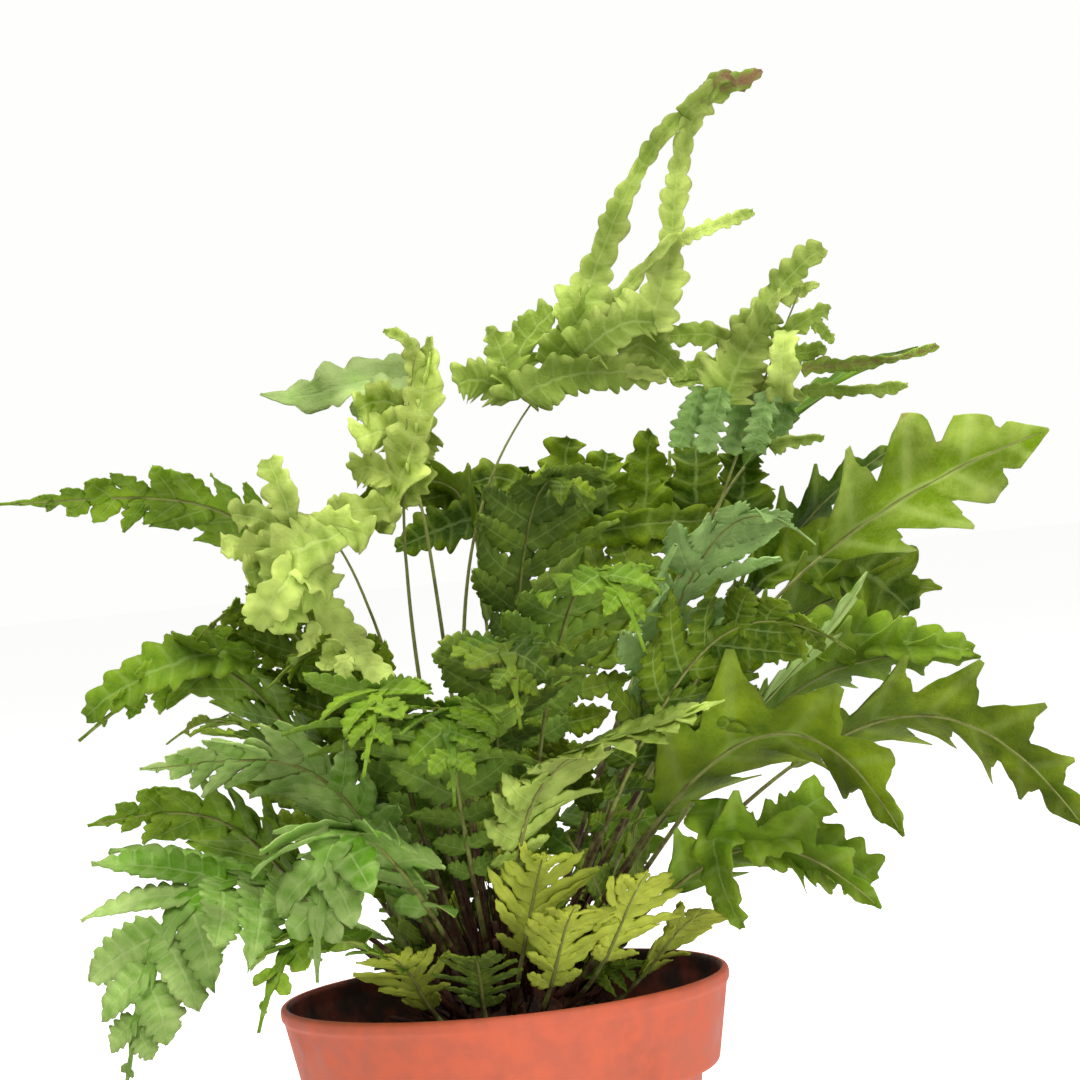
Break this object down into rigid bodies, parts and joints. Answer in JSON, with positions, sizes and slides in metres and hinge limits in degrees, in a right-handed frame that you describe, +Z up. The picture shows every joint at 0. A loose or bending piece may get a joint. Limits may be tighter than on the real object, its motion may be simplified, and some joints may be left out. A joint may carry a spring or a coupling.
{
  "type": "potted fern",
  "caption": "Bushy fern with lobed, toothed fronds arching from one crown, growing in soil in a round tapered plastic nursery pot with a deep collar.",
  "frame": {"origin": "middle of the pot's flat base, on the surface it stands on", "axes": "+Z up along the pot's axis; -Y is the front, the side the plant is seen from; +X is to the viewer's right"},
  "size_m": [0.2769, 0.2348, 0.3394],
  "materials": {
    "pot": "terracotta-coloured moulded polypropylene",
    "soil": "dark moist peat potting soil",
    "crown": "fibrous brown stalk bases and scales",
    "lime": "fresh lime-green leaf",
    "leaf": "mid-green leaf",
    "dark": "dark green leaf",
    "pale": "pale green leaf",
    "blue": "bluish green leaf",
    "yellow": "young yellow-green leaf"
  },
  "bodies": {
    "root": {"pot": "pot", "soil": "soil", "crown": "crown", "frond_tall": "lime", "frond_upper_right": "lime", "frond_strap": "leaf", "frond_right_upper": "dark", "frond_oak": "lime", "frond_right": "dark", "frond_right_lower": "leaf", "frond_right_pointed": "pale", "frond_olive": "dark", "frond_far_right": "dark", "frond_right_bottom": "leaf", "frond_crown_left": "dark", "frond_crown_back": "dark", "frond_right_back": "dark", "frond_blue": "blue", "frond_front_right": "leaf", "frond_front": "dark", "frond_bright": "lime", "frond_front_low": "leaf", "frond_mid_front": "leaf", "frond_lime": "lime", "frond_lime_upright": "lime", "frond_back_pale": "pale", "frond_long_left": "leaf", "frond_left_inner": "dark", "frond_left_front": "dark", "frond_mid_left": "dark", "frond_left": "leaf", "frond_left_level": "pale", "frond_left_low": "leaf", "frond_left_hanging": "pale", "frond_edge_left": "leaf", "frond_front_left": "pale", "frond_right_front": "dark", "frond_centre": "dark", "frond_back_right": "dark", "frond_back_right_low": "leaf", "frond_back": "dark", "frond_back_left_low": "leaf", "frond_back_left": "dark", "young_right": "yellow", "young_front_right": "yellow", "young_centre": "yellow", "young_edge": "yellow", "young_front": "dark", "young_left": "yellow"}
  },
  "joints": []
}
